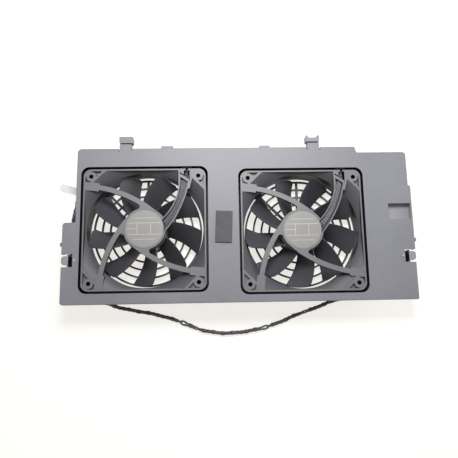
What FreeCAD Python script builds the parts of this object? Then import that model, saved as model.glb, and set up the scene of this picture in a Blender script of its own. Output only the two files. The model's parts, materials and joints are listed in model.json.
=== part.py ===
import FreeCAD, Part
import math
import os

# Twin 120 mm fan holder, lying with the outlet side of its fans up.
# X runs along the long side, Y away from the front edge, Z up out of the outlet side.
# The origin is the middle of the footprint, on the surface that the holder lies on.
# All sizes are millimetres.

# How far joined solids reach into each other, and how far cutters reach past a face
OVERLAP = 0.5
CUT_PAST = 1.0

# Fans: where they sit, and the standard 120 mm frame
LEFT_FAN = (-92.3, -10.5)
RIGHT_FAN = (61.7, -13.5)
FAN_BACK = 6.0
FAN_SIZE = 119.6
FAN_DEPTH = 25.0
FRAME_CORNER_R = 7.0
HOLE_PITCH = 105.0
HOLE_R = 2.15
FLANGE_T = 4.2
BARREL_R = 59.4
THROAT_R = 57.0
RIM_T = 1.5
OUTLET_FLARE_R = 71.0
OUTLET_FLARE_DEPTH = 6.5
INLET_FLARE_R = 58.6
INLET_FLARE_DEPTH = 4.5
FLARE_BOW = (0.38, 0.53)
FLARE_WALL = 2.0
FLANGE_EDGE = 68.4
HOLE_BOSS_R = 4.9
CORNER_POCKET_DEPTH = 3.2
CORNER_POCKET_WALL = (1.8, 2.2)
CORNER_POCKET_TIP = 0.5

# Struts: arcs that run off the motor base, and a wire channel in place of the fourth
STRUT_CENTRE = (-63.7, -68.5)
STRUT_R = (109.2, 114.0)
STRUT_ANGLES = (46.5, 91.0)
STRUT_FOOT_EXTRA = 1.7
STRUT_FOOT_ANGLE = 80.0
STRUT_T = 4.6
STRUT_ROOT_FILLET = 2.6
CHANNEL_LEFT = ((32.6, 58.6), (30.4, 30.5), (14.5, 7.5))
CHANNEL_RIGHT = ((44.9, 58.6), (38.4, 27.9), (19.6, -3.5))
CHANNEL_FOOT = ((33.0, 59.0), (33.0, 40.4), (43.9, 39.4), (46.6, 50.4), (45.6, 59.0))
CHANNEL_WALL = 1.3
CHANNEL_FLOOR = 1.3
WIRE_EXIT_X = 41.2
WIRE_EXIT_W = 5.8
WIRE_EXIT_END = 58.0
WIRE_NECK_W = 2.4
WIRE_CLIP = ((34.0, 53.6), (44.5, 46.6))
WIRE_CLIP_W = 2.6
WIRE_CLIP_T = 1.0
TROUGH_PAST_CLIP = 2.5

# Motor: base, bearing tube, bearings of 3 x 8 x 4 mm, shaft, rotor cup and stator
BASE_R = 20.5
BASE_T = 4.0
BASE_RIM = 1.5
LABEL_R = 18.5
LABEL_T = 0.15
LABEL_CLEARANCE = 0.2
TUBE_R = (4.0, 5.0)
TUBE_SHOULDER_R = 3.4
SHAFT_R = 1.5
SHAFT_TAIL = 1.6
SHAFT_SEAT = 0.8
RUNNING_GAP = 0.03
BEARING_R = 4.0
BEARING_W = 4.0
BEARING_SHIELD = (2.2, 3.3, 0.3)
REAR_BEARING_Z = 5.0
FRONT_BEARING_Z = 17.0
CLIP_GROOVE = 0.3
CLIP_R = 2.7
CLIP_T = 0.5
CLIP_MOUTH = 1.4
CLIP_CLEARANCE = 0.4
WASHER_R = 2.6
WASHER_T = 0.3
HUB_R = 21.5
HUB_WALL = 1.5
HUB_FLOOR_T = 2.3
HUB_Z = (1.5, 19.6)
HUB_EDGE_R = 2.5
HUB_BOSS_R = 3.5
HUB_BOSS_TOP = 4.4
YOKE_WALL = 1.2
YOKE_FLOOR_T = 1.0
YOKE_EYE_R = 6.0
YOKE_TOP = 19.2
MAGNET_WALL = 1.9
MAGNET_Z = (6.0, 17.0)
AIR_GAP = 0.5
POLE_R = HUB_R - HUB_WALL - YOKE_WALL - MAGNET_WALL - AIR_GAP
POLE_COUNT = 4
POLE_NECK_W = 4.0
POLE_SHOE_T = 2.8
POLE_SHOE_ANGLE = 74.0
STATOR_Z = (8.0, 15.0)
STATOR_HUB_R = 8.2
COIL_X = (8.5, 12.9)
COIL_W = 9.2
COIL_OVERHANG = 1.9
COIL_EDGE_R = 1.0
BOARD_R = POLE_R - 0.2
BOARD_Z = 17.2
BOARD_T = 1.2
BOARD_CHIPS = (
    (10.2, 0.0, 4.5, 4.0, 1.2), (0.0, 12.5, 3.0, 2.0, 0.9), (-10.4, -0.1, 3.2, 1.8, 1.0),
    (-8.5, -6.9, 2.0, 1.2, 0.8), (4.0, -10.9, 2.0, 1.2, 0.8),
)

# Blades: nine, swept and twisted, from the hub to the tip radius
BLADE_COUNT = 9
BLADE_TIP_R = 55.4
BLADE_Z = (1.8, 18.8)
BLADE_T = 2.2
BLADE_EDGE_T = 0.9
BLADE_CAMBER = 2.0
BLADE_SWEEP_PER_MM = -0.5
BLADE_CHORD_X = ((20.3, 12.6), (32.0, 15.8), (44.0, 19.2), (57.0, 22.6))
BLADE_TIP_ROUND = 3.5
BLADE_PHASE_R = 50.0
BLADE_PHASE = {"left": 308.5, "right": 307.0}

# Bracket plate
PLATE_TOP = 32.0
PLATE_T = 2.5
PLATE_LEFT = -171.0
PLATE_RIGHT = 171.0
PLATE_FRONT = -82.8
PLATE_BACK = 70.3
PLATE_BACK_LOW = 64.2
BACK_STEP_X = 117.5
BACK_STEP_RUN = 1.8
LUG_BACK = -3.75
UPPER_LEFT = -158.7
UPPER_RIGHT = 168.7
RIGHT_STEP_Y = 29.5
PLATE_CORNERS = (
    (PLATE_LEFT, PLATE_FRONT, 3.0), (PLATE_RIGHT, PLATE_FRONT, 1.5), (PLATE_RIGHT, RIGHT_STEP_Y, 1.0),
    (UPPER_RIGHT, RIGHT_STEP_Y, 0.6), (UPPER_RIGHT, PLATE_BACK_LOW, 3.5),
    (BACK_STEP_X + BACK_STEP_RUN, PLATE_BACK_LOW, 1.0), (BACK_STEP_X, PLATE_BACK, 1.5),
    (UPPER_LEFT, PLATE_BACK, 4.0), (UPPER_LEFT, LUG_BACK, 1.0), (PLATE_LEFT, LUG_BACK, 3.0),
)
SKIRT_BOTTOM = 26.0
SKIRT_T = 2.0
EDGE_ROUND = 0.7

# Fan wells
WELL_SIZE = 124.0
WELL_CORNER_R = 8.0
WELL_WALL = 2.0
WELL_FLOOR_T = 3.0
WELL_OPENING_R = 58.5

# Back hooks, lips, side pips, pocket and ribs
HOOK_TOP_Y = 82.8
HOOK_BOTTOM = 23.0
HOOK_TONGUES = {"left": (-117.6, -106.0), "right": (70.0, 81.8)}
HOOK_BLOCKS = {"left": (-118.1, -104.4), "right": (68.6, 82.3)}
HOOK_TONGUE = 4.3
HOOK_SLOT = 1.5
HOOK_BRIDGE_T = 3.0
HOOK_CORNER_R = 0.8
HOOK_STEP = 0.6
HORN_NOTCH = (7.6, 9.6, 2.4)
SLIT = (1.1, 3.2)
LIPS = ((-76.4, -64.3, 2.4), (21.2, 32.2, 2.0))
LIP_CORNER_R = 0.8
LIP_STEP = 0.4
PIP_Y = -25.0
PIP = (2.0, 3.6, 4.6)
PIP_CORNER_R = 0.6
POCKET = (147.2, 169.3, -4.3, 11.3)
POCKET_CORNER_R = 0.6
POCKET_DEPTH = 6.0
POCKET_WALL = 1.5
RIB_T = 1.8
RIB_BOTTOM = 24.0
WING_RIB_Y = (-62.0, -20.0, 32.0, 50.0)
MIDDLE_RIB_Y = (-50.0, 28.0)
BACK_RIB_X = (-140.0, -82.0, -15.0, 40.0)
ARROW = (2.8, 3.4, 0.7)
ARROW_GAP = 1.0

# Side latches: sprung arms that stand on a shelf below the plate
LATCH_Y = -40.7
NOTCH_X = 160.3
NOTCH_W = 12.4
LATCH_POST_T = 2.0
LATCH_W = 8.6
LATCH_ARM_W = 11.6
LATCH_ARM_X = (164.2, 166.0)
LATCH_TAB_T = 2.5
LATCH_TAB_ROUND = 3.0
LATCH_BEAD_R = 1.3
LATCH_BEAD_Z = 11.2
LATCH_GAP = 0.35
LATCH_SHELF = (8.0, 11.0)
LATCH_SHELF_X = 167.4
LATCH_SHELF_W = 13.0
CATCH_Z = (17.0, 22.0, 23.0)
CATCH_REACH = 2.6
CATCH_W = 6.6

# Finger guards, isolator pins and foam pad
GUARD_T = 2.0
GUARD_RINGS = (30.0, 38.1, 46.2, 54.3)
GUARD_RING_W = 1.9
GUARD_SPOKES = 8
GUARD_SPOKE_W = 2.6
GUARD_HUB_R = 22.6
GUARD_EAR_R = 4.6
PIN_HOLE_R = 2.1
PIN_R = 1.95
PIN_HEAD = (4.4, 1.2)
PIN_COLLAR_R = 4.2
PIN_BULB_R = 2.9
PIN_BULB_RISE = 0.2
PIN_TAPER = 5.0
PIN_TIP_R = 1.2
PIN_TIP_Z = 21.0
COUNTERBORE = (5.0, 1.5)
PAD_CENTRE = (-15.2, -9.75)
PAD_SIZE = (16.2, 31.0, 1.5)
PAD_TURN = -2.5
PAD_CORNER_R = 0.8

# Leads: thin wires in the strut channel, the twisted lead, its grommet, label and connector.
# A point of the thin wires' route is x, y and the drop below the channel. The offsets set them side by side.
WIRE_R = 0.56
WIRE_ROUTE = (
    (18.7, 3.9, 0.0), (23.2, 9.6, 0.0), (29.2, 18.1, 0.0), (33.9, 28.0, 0.0), (37.1, 38.5, 0.0),
    (39.6, 47.6, 0.0), (40.95, 51.9, 0.0), (41.2, 54.2, 2.8), (41.2, 61.0, 2.8),
)
WIRE_OFFSETS = {"left": (-2.0, -0.86, 0.28, 2.04), "right": (-2.0, -0.86, 0.28, 1.42)}
GROMMET_W = 8.0
GROMMET_Z = (23.4, 29.4)
GROMMET_FLANGE = 1.0
LEAD_R = 2.2
LEAD_Z = 2.3
LEAD_EXIT_Z = 26.0
LEAD_BEND = 0.45
LEAD_START = ((0.0, 0.0, 0.0), (0.0, 4.5, 0.0), (2.8, 8.2, -3.2))
LEAD_RIGHT = ((110.0, 61.8, 18.5), (117.0, 62.0, 12.0), (125.5, 59.0, 6.5), (134.0, 53.0, 3.2))
LEAD_FLOOR = (
    (141.0, 43.5), (146.0, 30.0), (149.2, 12.0), (150.5, -9.0), (149.0, -31.0), (145.5, -51.0),
    (139.5, -66.0), (131.5, -76.0), (121.5, -80.6), (111.5, -80.4), (99.0, -82.2), (86.0, -85.0),
    (73.0, -89.2), (58.0, -93.2), (42.0, -99.4), (25.0, -106.4), (8.0, -110.3), (-9.0, -112.6),
    (-25.0, -112.1), (-41.0, -108.6), (-57.0, -101.3), (-74.0, -95.4), (-91.0, -91.2), (-108.0, -88.3),
    (-122.0, -85.6), (-136.0, -82.0), (-149.0, -81.0), (-158.8, -76.6), (-165.3, -68.0), (-168.8, -55.0),
    (-169.8, -39.0), (-170.6, -22.0), (-172.2, -7.0), (-171.2, 5.0), (-168.0, 16.0), (-165.0, 28.0),
    (-163.4, 39.5), (-162.2, 50.0), (-156.2, 58.2), (-147.0, 62.6), (-138.0, 62.6),
)
CONNECTOR = (14.0, 10.2, 5.8)
CONNECTOR_RIB = (9.0, 1.6, 1.0)
CONNECTOR_RIB_Y = (-2.5, 2.5)
FLAG_FROM = (-164.3, 33.2)
FLAG_TURN = 161.5
FLAG = (27.0, 7.0, 0.35)
FLAG_WRAP_T = 0.1
FLAG_RUN = 35


# Helpers: points, outlines, prisms and turned shapes
def vec(x, y, z=0.0):
    return FreeCAD.Vector(x, y, z)


def corner_arc(before, here, after, radius):
    """Start, middle and end of the arc that rounds the corner at here."""
    back = (before - here).normalize()
    ahead = (after - here).normalize()
    half = back.getAngle(ahead) / 2
    setback = radius / math.tan(half)
    inward = (back + ahead).normalize()
    middle = here + inward * (radius / math.sin(half) - radius)
    return here + back * setback, middle, here + ahead * setback


def outline(corners):
    """Closed flat wire through corners of (x, y, radius)."""
    points = [vec(x, y) for x, y, radius in corners]
    arcs = []
    for i, (x, y, radius) in enumerate(corners):
        arcs.append(corner_arc(points[i - 1], points[i], points[(i + 1) % len(points)], radius))
    edges = []
    for i, (start, middle, end) in enumerate(arcs):
        edges.append(Part.Arc(start, middle, end).toShape())
        edges.append(Part.LineSegment(end, arcs[(i + 1) % len(arcs)][0]).toShape())
    return Part.Wire(edges)


def rectangle(x0, x1, y0, y1, radius):
    return outline([(x0, y0, radius), (x1, y0, radius), (x1, y1, radius), (x0, y1, radius)])


def square(size, radius, centre=(0.0, 0.0)):
    x, y = centre
    half = size / 2
    return rectangle(x - half, x + half, y - half, y + half, radius)


def prism(wire, z0, z1):
    face = Part.Face(wire)
    face.translate(vec(0, 0, z0))
    return face.extrude(vec(0, 0, z1 - z0))


def polygon(points):
    return Part.makePolygon([vec(x, y) for x, y in points + points[:1]])


def box(x0, x1, y0, y1, z0, z1):
    return Part.makeBox(x1 - x0, y1 - y0, z1 - z0, vec(x0, y0, z0))


def disc(radius, z0, z1, centre=(0.0, 0.0)):
    return Part.makeCylinder(radius, z1 - z0, vec(*centre, z0))


def ring(inner, outer, z0, z1, centre=(0.0, 0.0)):
    return disc(outer, z0, z1, centre).cut(disc(inner, z0, z1, centre))


def ring_sector(inner, outer, z0, z1, start, end, centre=(0.0, 0.0)):
    """Part of a ring from the angle start to the angle end, in degrees."""
    height = z1 - z0
    base = vec(*centre, z0)
    up = vec(0, 0, 1)
    outside = Part.makeCylinder(outer, height, base, up, end - start)
    inside = Part.makeCylinder(inner, height, base, up, end - start)
    sector = outside.cut(inside)
    sector.rotate(base, up, start)
    return sector


def turned(profile):
    """Solid of revolution about Z of a closed profile of (r, z) points."""
    points = [vec(r, 0, z) for r, z in profile + profile[:1]]
    return Part.Face(Part.makePolygon(points)).revolve(vec(0, 0), vec(0, 0, 1), 360)


def flared(throat, mouth, z_throat, z_mouth):
    """Bell-mouth cutter whose wall curves from the throat out to the mouth."""
    way = (mouth - throat, z_mouth - z_throat)
    middle = vec(throat + FLARE_BOW[0] * way[0], 0, z_throat + FLARE_BOW[1] * way[1])
    start = vec(throat, 0, z_throat)
    end = vec(mouth, 0, z_mouth)
    edges = [
        Part.Arc(start, middle, end).toShape(),
        Part.LineSegment(end, vec(0, 0, z_mouth)).toShape(),
        Part.LineSegment(vec(0, 0, z_mouth), vec(0, 0, z_throat)).toShape(),
        Part.LineSegment(vec(0, 0, z_throat), start).toShape(),
    ]
    return Part.Face(Part.Wire(edges)).revolve(vec(0, 0), vec(0, 0, 1), 360)


def turned_copies(shape, count, start=0.0):
    copies = []
    for i in range(count):
        copy = shape.copy()
        copy.rotate(vec(0, 0), vec(0, 0, 1), start + 360.0 * i / count)
        copies.append(copy)
    return copies


def bent_path(points, radii):
    """Open wire of straight runs joined by tangent arcs, one radius for each inner point."""
    edges = []
    last = points[0]
    for i in range(1, len(points) - 1):
        start, middle, end = corner_arc(points[i - 1], points[i], points[i + 1], radii[i - 1])
        edges.append(Part.LineSegment(last, start).toShape())
        edges.append(Part.Arc(start, middle, end).toShape())
        last = end
    edges.append(Part.LineSegment(last, points[-1]).toShape())
    return Part.Wire(edges)


def largest_radii(points):
    """For each inner point, the radius that uses LEAD_BEND of its shorter run."""
    radii = []
    for i in range(1, len(points) - 1):
        back = points[i - 1] - points[i]
        ahead = points[i + 1] - points[i]
        half_turn = (math.pi - back.getAngle(ahead)) / 2
        radii.append(LEAD_BEND * min(back.Length, ahead.Length) / math.tan(half_turn))
    return radii


def tube_along(points, radius):
    path = bent_path(points, largest_radii(points))
    heading = points[1] - points[0]
    section = Part.Wire(Part.makeCircle(radius, points[0], heading))
    return path.makePipeShell([section], True, False), path.Length


def hole_centres():
    half = HOLE_PITCH / 2
    return [(half, half), (-half, half), (-half, -half), (half, -half)]


# Fan frame: everything here is in the fan's own frame, with its back at z = 0
def channel_strip(inset):
    """Outline between the two walls of the wire channel, narrowed by inset on each side."""
    left = [vec(x + inset, y) for x, y in CHANNEL_LEFT]
    right = [vec(x - inset, y) for x, y in CHANNEL_RIGHT]
    return Part.Wire([
        Part.Arc(*left).toShape(),
        Part.LineSegment(left[2], right[2]).toShape(),
        Part.Arc(right[2], right[1], right[0]).toShape(),
        Part.LineSegment(right[0], left[0]).toShape(),
    ])


def strut_spider():
    """Motor base with three plain struts, filleted where they leave the base."""
    z0 = FAN_DEPTH - STRUT_T
    inner, outer = STRUT_R
    arm = ring_sector(inner, outer, z0, FAN_DEPTH, *STRUT_ANGLES, STRUT_CENTRE)
    arms = turned_copies(arm, 4)[:3]
    spider = disc(BASE_R, z0, FAN_DEPTH).fuse(arms).removeSplitter()
    roots = []
    for edge in spider.Edges:
        middle = edge.CenterOfMass
        upright = abs(edge.BoundBox.ZLength - STRUT_T) < 1e-6 and edge.BoundBox.XLength < 1e-6
        if upright and abs(math.hypot(middle.x, middle.y) - BASE_R) < 1e-3:
            roots.append(edge)
    spider = spider.makeFillet(STRUT_ROOT_FILLET, roots)
    foot = ring_sector(
        inner - STRUT_FOOT_EXTRA, outer + STRUT_FOOT_EXTRA, z0, FAN_DEPTH,
        STRUT_FOOT_ANGLE, STRUT_ANGLES[1], STRUT_CENTRE,
    )
    return spider.fuse(turned_copies(foot, 4)[:3])


def corner_pockets():
    """Curved triangular pockets beside each hole; the wire channel takes the place of one of them."""
    rim_wall, edge_wall = CORNER_POCKET_WALL
    hole = HOLE_PITCH / 2
    rim = FAN_SIZE / 2 - rim_wall
    tip = hole + CORNER_POCKET_TIP
    diagonal = math.sqrt(2) * (FLANGE_EDGE + edge_wall)
    z0 = FAN_DEPTH - CORNER_POCKET_DEPTH
    plan = polygon([(rim, tip), (rim, diagonal - rim), (diagonal / 2, diagonal / 2), (tip, tip)])
    beside = prism(plan, z0, FAN_DEPTH).cut(disc(HOLE_BOSS_R, z0, FAN_DEPTH, (hole, hole)))
    above = beside.mirror(vec(0, 0), vec(1, -1))
    return turned_copies(beside, 4) + turned_copies(above, 4)[1:]


def along_clip(back, ahead, z0, z1):
    """Bar along the slanting clip line, reaching back towards the motor and ahead towards the rim."""
    start, end = (vec(*point) for point in WIRE_CLIP)
    way = end - start
    bar = box(-back - ahead, way.Length + back + ahead, -back, ahead, z0, z1)
    bar.rotate(vec(0, 0), vec(0, 0, 1), math.degrees(math.atan2(way.y, way.x)))
    bar.translate(start)
    return bar


def wire_clip():
    """Slanting bar across the channel that holds the thin leads down."""
    bar = along_clip(WIRE_CLIP_W / 2, WIRE_CLIP_W / 2, FAN_DEPTH - WIRE_CLIP_T, FAN_DEPTH)
    return bar.common(prism(channel_strip(0), FAN_DEPTH - STRUT_T, FAN_DEPTH))


def wire_passage():
    """Trough that the thin leads lie in up to the clip, then a slot down through the flange to its rim."""
    z0 = FAN_DEPTH - STRUT_T
    low = FAN_DEPTH - OUTLET_FLARE_DEPTH - FLARE_WALL
    reach = FAN_SIZE / 4
    beyond = along_clip(0, reach, low, FAN_DEPTH)
    trough = prism(channel_strip(CHANNEL_WALL), z0 + CHANNEL_FLOOR, FAN_DEPTH)
    trough = trough.cut(along_clip(-TROUGH_PAST_CLIP, reach, z0, FAN_DEPTH))
    half = WIRE_EXIT_W / 2
    slot = box(WIRE_EXIT_X - half, WIRE_EXIT_X + half, 0, WIRE_EXIT_END, low, FAN_DEPTH).common(beyond)
    half = WIRE_NECK_W / 2
    edge = FAN_SIZE / 2 + CUT_PAST
    neck = box(WIRE_EXIT_X - half, WIRE_EXIT_X + half, WIRE_EXIT_END - OVERLAP, edge, z0, FAN_DEPTH)
    return [trough, slot, neck]


def flare_backing(plan):
    """Cone of plastic that carries the flared outlet, cut to the frame's square."""
    throat_z = FAN_DEPTH - OUTLET_FLARE_DEPTH
    cone = turned([
        (THROAT_R, throat_z - FLARE_WALL), (OUTLET_FLARE_R, FAN_DEPTH - FLARE_WALL),
        (OUTLET_FLARE_R, FAN_DEPTH), (THROAT_R, FAN_DEPTH),
    ])
    return cone.common(prism(plan, 0, FAN_DEPTH))


def fan_frame():
    plan = square(FAN_SIZE, FRAME_CORNER_R)
    body = disc(BARREL_R, 0, FAN_DEPTH).fuse([
        prism(plan, 0, FLANGE_T),
        prism(plan, FAN_DEPTH - FLANGE_T, FAN_DEPTH),
        flare_backing(plan),
    ])
    inside = prism(square(FAN_SIZE - 2 * RIM_T, FRAME_CORNER_R - RIM_T), 0, FAN_DEPTH)
    between_flanges = prism(square(2 * FLANGE_EDGE, RIM_T), 0, FAN_DEPTH)
    between_flanges.rotate(vec(0, 0), vec(0, 0, 1), 45)
    outlet = flared(THROAT_R, OUTLET_FLARE_R, FAN_DEPTH - OUTLET_FLARE_DEPTH, FAN_DEPTH)
    outlet = outlet.common(inside).common(between_flanges)
    inlet = flared(THROAT_R, INLET_FLARE_R, INLET_FLARE_DEPTH, 0).common(inside)
    holes = [disc(HOLE_R, 0, FAN_DEPTH, centre) for centre in hole_centres()]
    body = body.cut([disc(THROAT_R, 0, FAN_DEPTH), outlet, inlet] + holes + corner_pockets())

    channel_z = FAN_DEPTH - STRUT_T
    channel = prism(channel_strip(0), channel_z, FAN_DEPTH)
    channel_foot = prism(polygon(list(CHANNEL_FOOT)), channel_z, FAN_DEPTH)
    arms = strut_spider().fuse([channel, channel_foot]).common(inside)
    body = body.fuse(arms)

    label_seat = disc(LABEL_R + LABEL_CLEARANCE, FAN_DEPTH - 2 * LABEL_T, FAN_DEPTH)
    under_base = disc(BASE_R - BASE_RIM, channel_z, FAN_DEPTH - BASE_T)
    body = body.cut(wire_passage() + [label_seat, under_base])

    tube = ring(TUBE_R[0], TUBE_R[1], REAR_BEARING_Z, FAN_DEPTH - BASE_T)
    shoulder = ring(TUBE_SHOULDER_R, TUBE_R[1], REAR_BEARING_Z + BEARING_W, FRONT_BEARING_Z)
    body = body.fuse([tube, shoulder, wire_clip()])
    return body.cut(disc(TUBE_R[0], FRONT_BEARING_Z, FAN_DEPTH)).removeSplitter()


# Impeller and rotor
def blade_section(radius, chord_x):
    """Closed section of one blade in the plane at this radius, swept round the axis."""
    z0, z1 = BLADE_Z
    half = chord_x / 2
    run = math.hypot(chord_x, z1 - z0)
    normal = ((z1 - z0) / run, -chord_x / run)

    def at(u, z, offset):
        return vec(radius, u + offset * normal[0], z + offset * normal[1])

    edge = BLADE_EDGE_T / 2
    thick = BLADE_T / 2
    middle_z = (z0 + z1) / 2
    pressure = [at(-half, z0, -edge), at(0, middle_z, BLADE_CAMBER - thick), at(half, z1, -edge)]
    suction = [at(half, z1, edge), at(0, middle_z, BLADE_CAMBER + thick), at(-half, z0, edge)]
    section = Part.Wire([
        Part.Arc(*pressure).toShape(),
        Part.LineSegment(pressure[2], suction[0]).toShape(),
        Part.Arc(*suction).toShape(),
        Part.LineSegment(suction[2], pressure[0]).toShape(),
    ])
    section.rotate(vec(0, 0), vec(0, 0, 1), BLADE_SWEEP_PER_MM * (radius - BLADE_PHASE_R))
    return section


def blade():
    loft = Part.makeLoft([blade_section(r, chord) for r, chord in BLADE_CHORD_X], True, False)
    low, high = BLADE_Z[0] - CUT_PAST, BLADE_Z[1] + CUT_PAST
    tip = BLADE_TIP_R
    cut = BLADE_TIP_ROUND
    swept = turned([
        (0, low), (tip - cut, low), (tip, low + cut), (tip, high - cut), (tip - cut, high), (0, high),
    ])
    return loft.common(swept)


def impeller(phase):
    z0, z1 = HUB_Z
    cup = disc(HUB_R, z0, z1)
    rim = [edge for edge in cup.Edges if abs(edge.CenterOfMass.z - z0) < 1e-6 and edge.Closed]
    cup = cup.makeFillet(HUB_EDGE_R, rim)
    cup = cup.cut(disc(HUB_R - HUB_WALL, z0 + HUB_FLOOR_T, z1))
    boss = disc(HUB_BOSS_R, z0 + SHAFT_SEAT, HUB_BOSS_TOP)
    blades = turned_copies(blade(), BLADE_COUNT, phase)
    wheel = cup.fuse([boss] + blades)
    return wheel.cut(disc(SHAFT_R, z0 + SHAFT_SEAT, z1)).removeSplitter()


def rotor_yoke():
    outer = HUB_R - HUB_WALL
    z0 = HUB_Z[0] + HUB_FLOOR_T
    floor = z0 + YOKE_FLOOR_T
    cup = disc(outer, z0, YOKE_TOP).cut(disc(outer - YOKE_WALL, floor, YOKE_TOP))
    return cup.cut(disc(YOKE_EYE_R, z0, floor))


def rotor_magnet():
    outer = HUB_R - HUB_WALL - YOKE_WALL
    return ring(outer - MAGNET_WALL, outer, *MAGNET_Z)


def clip_z():
    return FRONT_BEARING_Z + BEARING_W + CLIP_CLEARANCE


def shaft():
    body = disc(SHAFT_R, HUB_Z[0] + SHAFT_SEAT, FRONT_BEARING_Z + BEARING_W + SHAFT_TAIL)
    groove = ring(SHAFT_R - CLIP_GROOVE, CLIP_R, clip_z(), clip_z() + CLIP_T)
    return body.cut(groove)


def bearing(z0):
    """Ball bearing with its inner and outer ring joined by shields set in from the faces."""
    inner, outer, recess = BEARING_SHIELD
    z1 = z0 + BEARING_W
    body = ring(SHAFT_R + RUNNING_GAP, BEARING_R, z0, z1)
    return body.cut([ring(inner, outer, z0, z0 + recess), ring(inner, outer, z1 - recess, z1)])


def thrust_washer():
    """Thin washer on the hub boss, just below the rear bearing."""
    return ring(SHAFT_R, WASHER_R, HUB_BOSS_TOP, HUB_BOSS_TOP + WASHER_T)


def retaining_clip():
    """Open ring in the groove of the shaft, behind the front bearing."""
    z0, z1 = clip_z(), clip_z() + CLIP_T
    half = CLIP_MOUTH / 2
    return ring(SHAFT_R - CLIP_GROOVE, CLIP_R, z0, z1).cut(box(-half, half, 0, CLIP_R, z0, z1))


# Stator and board
def stator_core():
    half = POLE_NECK_W / 2
    shoe_r = POLE_R - POLE_SHOE_T
    hub = ring(TUBE_R[1], STATOR_HUB_R, *STATOR_Z)
    neck = box(STATOR_HUB_R - OVERLAP, shoe_r + OVERLAP, -half, half, *STATOR_Z)
    shoe = ring_sector(shoe_r, POLE_R, *STATOR_Z, -POLE_SHOE_ANGLE / 2, POLE_SHOE_ANGLE / 2)
    return hub.fuse(turned_copies(neck.fuse(shoe), POLE_COUNT)).removeSplitter()


def stator_coils():
    z0, z1 = STATOR_Z
    x0, x1 = COIL_X
    half = COIL_W / 2
    half_neck = POLE_NECK_W / 2
    wound = prism(rectangle(x0, x1, -half, half, COIL_EDGE_R), z0 - COIL_OVERHANG, z1 + COIL_OVERHANG)
    coil = wound.cut(box(x0, x1, -half_neck, half_neck, z0, z1))
    return Part.makeCompound(turned_copies(coil, POLE_COUNT))


def circuit_board():
    return ring(TUBE_R[1], BOARD_R, BOARD_Z, BOARD_Z + BOARD_T)


def board_components():
    z0 = BOARD_Z + BOARD_T
    chips = []
    for x, y, length, width, height in BOARD_CHIPS:
        chips.append(box(x - length / 2, x + length / 2, y - width / 2, y + width / 2, z0, z0 + height))
    return Part.makeCompound(chips)


def motor_label():
    return disc(LABEL_R, FAN_DEPTH - 2 * LABEL_T, FAN_DEPTH - LABEL_T)


def strut_wires(offsets):
    """Thin leads side by side on the channel floor, then down through the slot to the grommet."""
    floor_z = FAN_DEPTH - STRUT_T + CHANNEL_FLOOR
    wires = []
    for shift in offsets:
        points = []
        for i, (x, y, drop) in enumerate(WIRE_ROUTE):
            before = WIRE_ROUTE[max(i - 1, 0)]
            after = WIRE_ROUTE[min(i + 1, len(WIRE_ROUTE) - 1)]
            way = vec(after[0] - before[0], after[1] - before[1]).normalize()
            points.append(vec(x + shift * way.y, y - shift * way.x, floor_z + WIRE_R - drop))
        wires.append(tube_along(points, WIRE_R)[0])
    return Part.makeCompound(wires)


def isolator_pins():
    """Four rubber pins that hold the fan in its well, in the fan's own frame."""
    base = -FAN_BACK
    head_r, head_t = PIN_HEAD
    top = base + COUNTERBORE[1]
    collar = base + WELL_FLOOR_T + GUARD_T
    pin = turned([
        (0, top - head_t), (head_r, top - head_t), (head_r, top), (PIN_R, top), (PIN_R, collar),
        (PIN_COLLAR_R, collar), (PIN_COLLAR_R, 0), (PIN_R, 0), (PIN_R, FLANGE_T),
        (PIN_BULB_R, FLANGE_T + PIN_BULB_RISE), (PIN_TIP_R, FLANGE_T + PIN_TAPER),
        (PIN_TIP_R, PIN_TIP_Z - FAN_BACK), (0, PIN_TIP_Z - FAN_BACK),
    ])
    pins = []
    for x, y in hole_centres():
        copy = pin.copy()
        copy.translate(vec(x, y))
        pins.append(copy)
    return Part.makeCompound(pins)


def finger_guard():
    """Rings and spokes behind the fan, with an ear at each fan hole; its back is at z = 0."""
    half_ring = GUARD_RING_W / 2
    rings = [ring(r - half_ring, r + half_ring, 0, GUARD_T) for r in GUARD_RINGS]
    half_spoke = GUARD_SPOKE_W / 2
    spoke = box(GUARD_HUB_R - OVERLAP, GUARD_RINGS[-1], -half_spoke, half_spoke, 0, GUARD_T)
    ears = []
    for angle, centre in zip((45, 135, 225, 315), hole_centres()):
        arm = box(GUARD_RINGS[-1], HOLE_PITCH / math.sqrt(2), -GUARD_EAR_R, GUARD_EAR_R, 0, GUARD_T)
        arm.rotate(vec(0, 0), vec(0, 0, 1), angle)
        ears += [arm, disc(GUARD_EAR_R, 0, GUARD_T, centre)]
    spokes = turned_copies(spoke, GUARD_SPOKES)
    guard = disc(GUARD_HUB_R, 0, GUARD_T).fuse(rings + spokes + ears)
    return guard.cut([disc(PIN_HOLE_R, 0, GUARD_T, c) for c in hole_centres()]).removeSplitter()


# Bracket
def plate_shell():
    """Plate with a short skirt under its rounded outer edge."""
    wire = outline(PLATE_CORNERS)
    inner = Part.Face(wire).makeOffset2D(-SKIRT_T).OuterWire
    solid = prism(wire, SKIRT_BOTTOM, PLATE_TOP)
    rim = [edge for edge in solid.Edges if edge.BoundBox.ZMin > PLATE_TOP - 1e-3]
    solid = solid.makeFillet(EDGE_ROUND, rim)
    return solid.cut(prism(inner, SKIRT_BOTTOM, PLATE_TOP - PLATE_T))


def hook_tongue(side):
    """Finger on the back edge that the block of the hook stands behind."""
    x0, x1 = HOOK_TONGUES[side]
    return box(x0, x1, PLATE_BACK - SKIRT_T, PLATE_BACK + HOOK_TONGUE, HOOK_BOTTOM, PLATE_TOP)


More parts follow.
